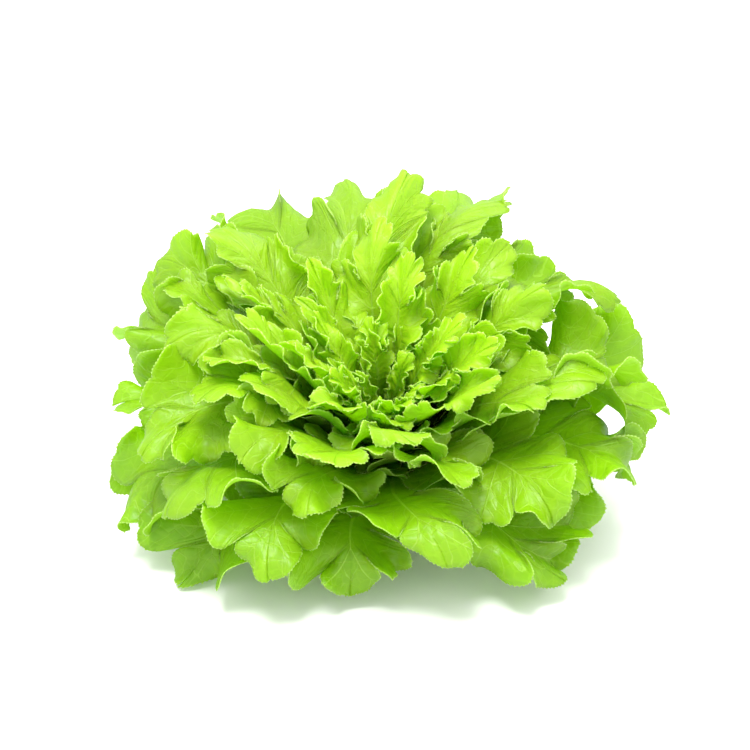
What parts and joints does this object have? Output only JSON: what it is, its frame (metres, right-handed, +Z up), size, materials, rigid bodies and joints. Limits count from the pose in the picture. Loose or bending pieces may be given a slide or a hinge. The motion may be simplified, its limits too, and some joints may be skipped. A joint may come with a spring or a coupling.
{
  "type": "oak leaf lettuce",
  "caption": "Loose head of green oak leaf lettuce: a rosette of lobed, curling leaves round a short cut stem, leaning to one side, with a small frilled heart.",
  "frame": {"origin": "centre of the stem's flat cut face, on the surface that the head rests on", "axes": "+Z up; the head leans towards -Y, the side that the picture shows, and a little towards -X"},
  "size_m": [0.2713, 0.2628, 0.1601],
  "materials": {
    "lettuce_leaf": "satin leaf skin, bright lime green, thin enough to let light through, paler along margins and ribs",
    "lettuce_heart": "satin leaf skin, yellow-green, tightly frilled",
    "lettuce_stem": "moist, pale green-white flesh with a flat knife cut"
  },
  "bodies": {
    "root": {"leaf_01": "lettuce_leaf", "leaf_02": "lettuce_leaf", "leaf_03": "lettuce_leaf", "leaf_04": "lettuce_leaf", "leaf_05": "lettuce_leaf", "leaf_06": "lettuce_leaf", "leaf_07": "lettuce_leaf", "leaf_08": "lettuce_leaf", "leaf_09": "lettuce_leaf", "leaf_10": "lettuce_leaf", "leaf_11": "lettuce_leaf", "leaf_12": "lettuce_leaf", "leaf_13": "lettuce_leaf", "leaf_14": "lettuce_leaf", "leaf_15": "lettuce_leaf", "leaf_16": "lettuce_leaf", "leaf_17": "lettuce_leaf", "leaf_18": "lettuce_leaf", "leaf_19": "lettuce_leaf", "leaf_20": "lettuce_leaf", "leaf_21": "lettuce_leaf", "leaf_22": "lettuce_leaf", "leaf_23": "lettuce_leaf", "leaf_24": "lettuce_leaf", "leaf_25": "lettuce_leaf", "leaf_26": "lettuce_leaf", "leaf_27": "lettuce_leaf", "leaf_28": "lettuce_leaf", "leaf_29": "lettuce_leaf", "leaf_30": "lettuce_leaf", "leaf_31": "lettuce_leaf", "leaf_32": "lettuce_leaf", "leaf_33": "lettuce_leaf", "leaf_34": "lettuce_leaf", "leaf_35": "lettuce_leaf", "leaf_36": "lettuce_leaf", "leaf_37": "lettuce_leaf", "leaf_38": "lettuce_leaf", "leaf_39": "lettuce_leaf", "leaf_40": "lettuce_leaf", "leaf_41": "lettuce_leaf", "leaf_42": "lettuce_leaf", "leaf_43": "lettuce_leaf", "leaf_44": "lettuce_leaf", "leaf_45": "lettuce_leaf", "leaf_46": "lettuce_leaf", "leaf_47": "lettuce_leaf", "leaf_48": "lettuce_leaf", "heart": "lettuce_heart", "stem": "lettuce_stem"}
  },
  "joints": []
}
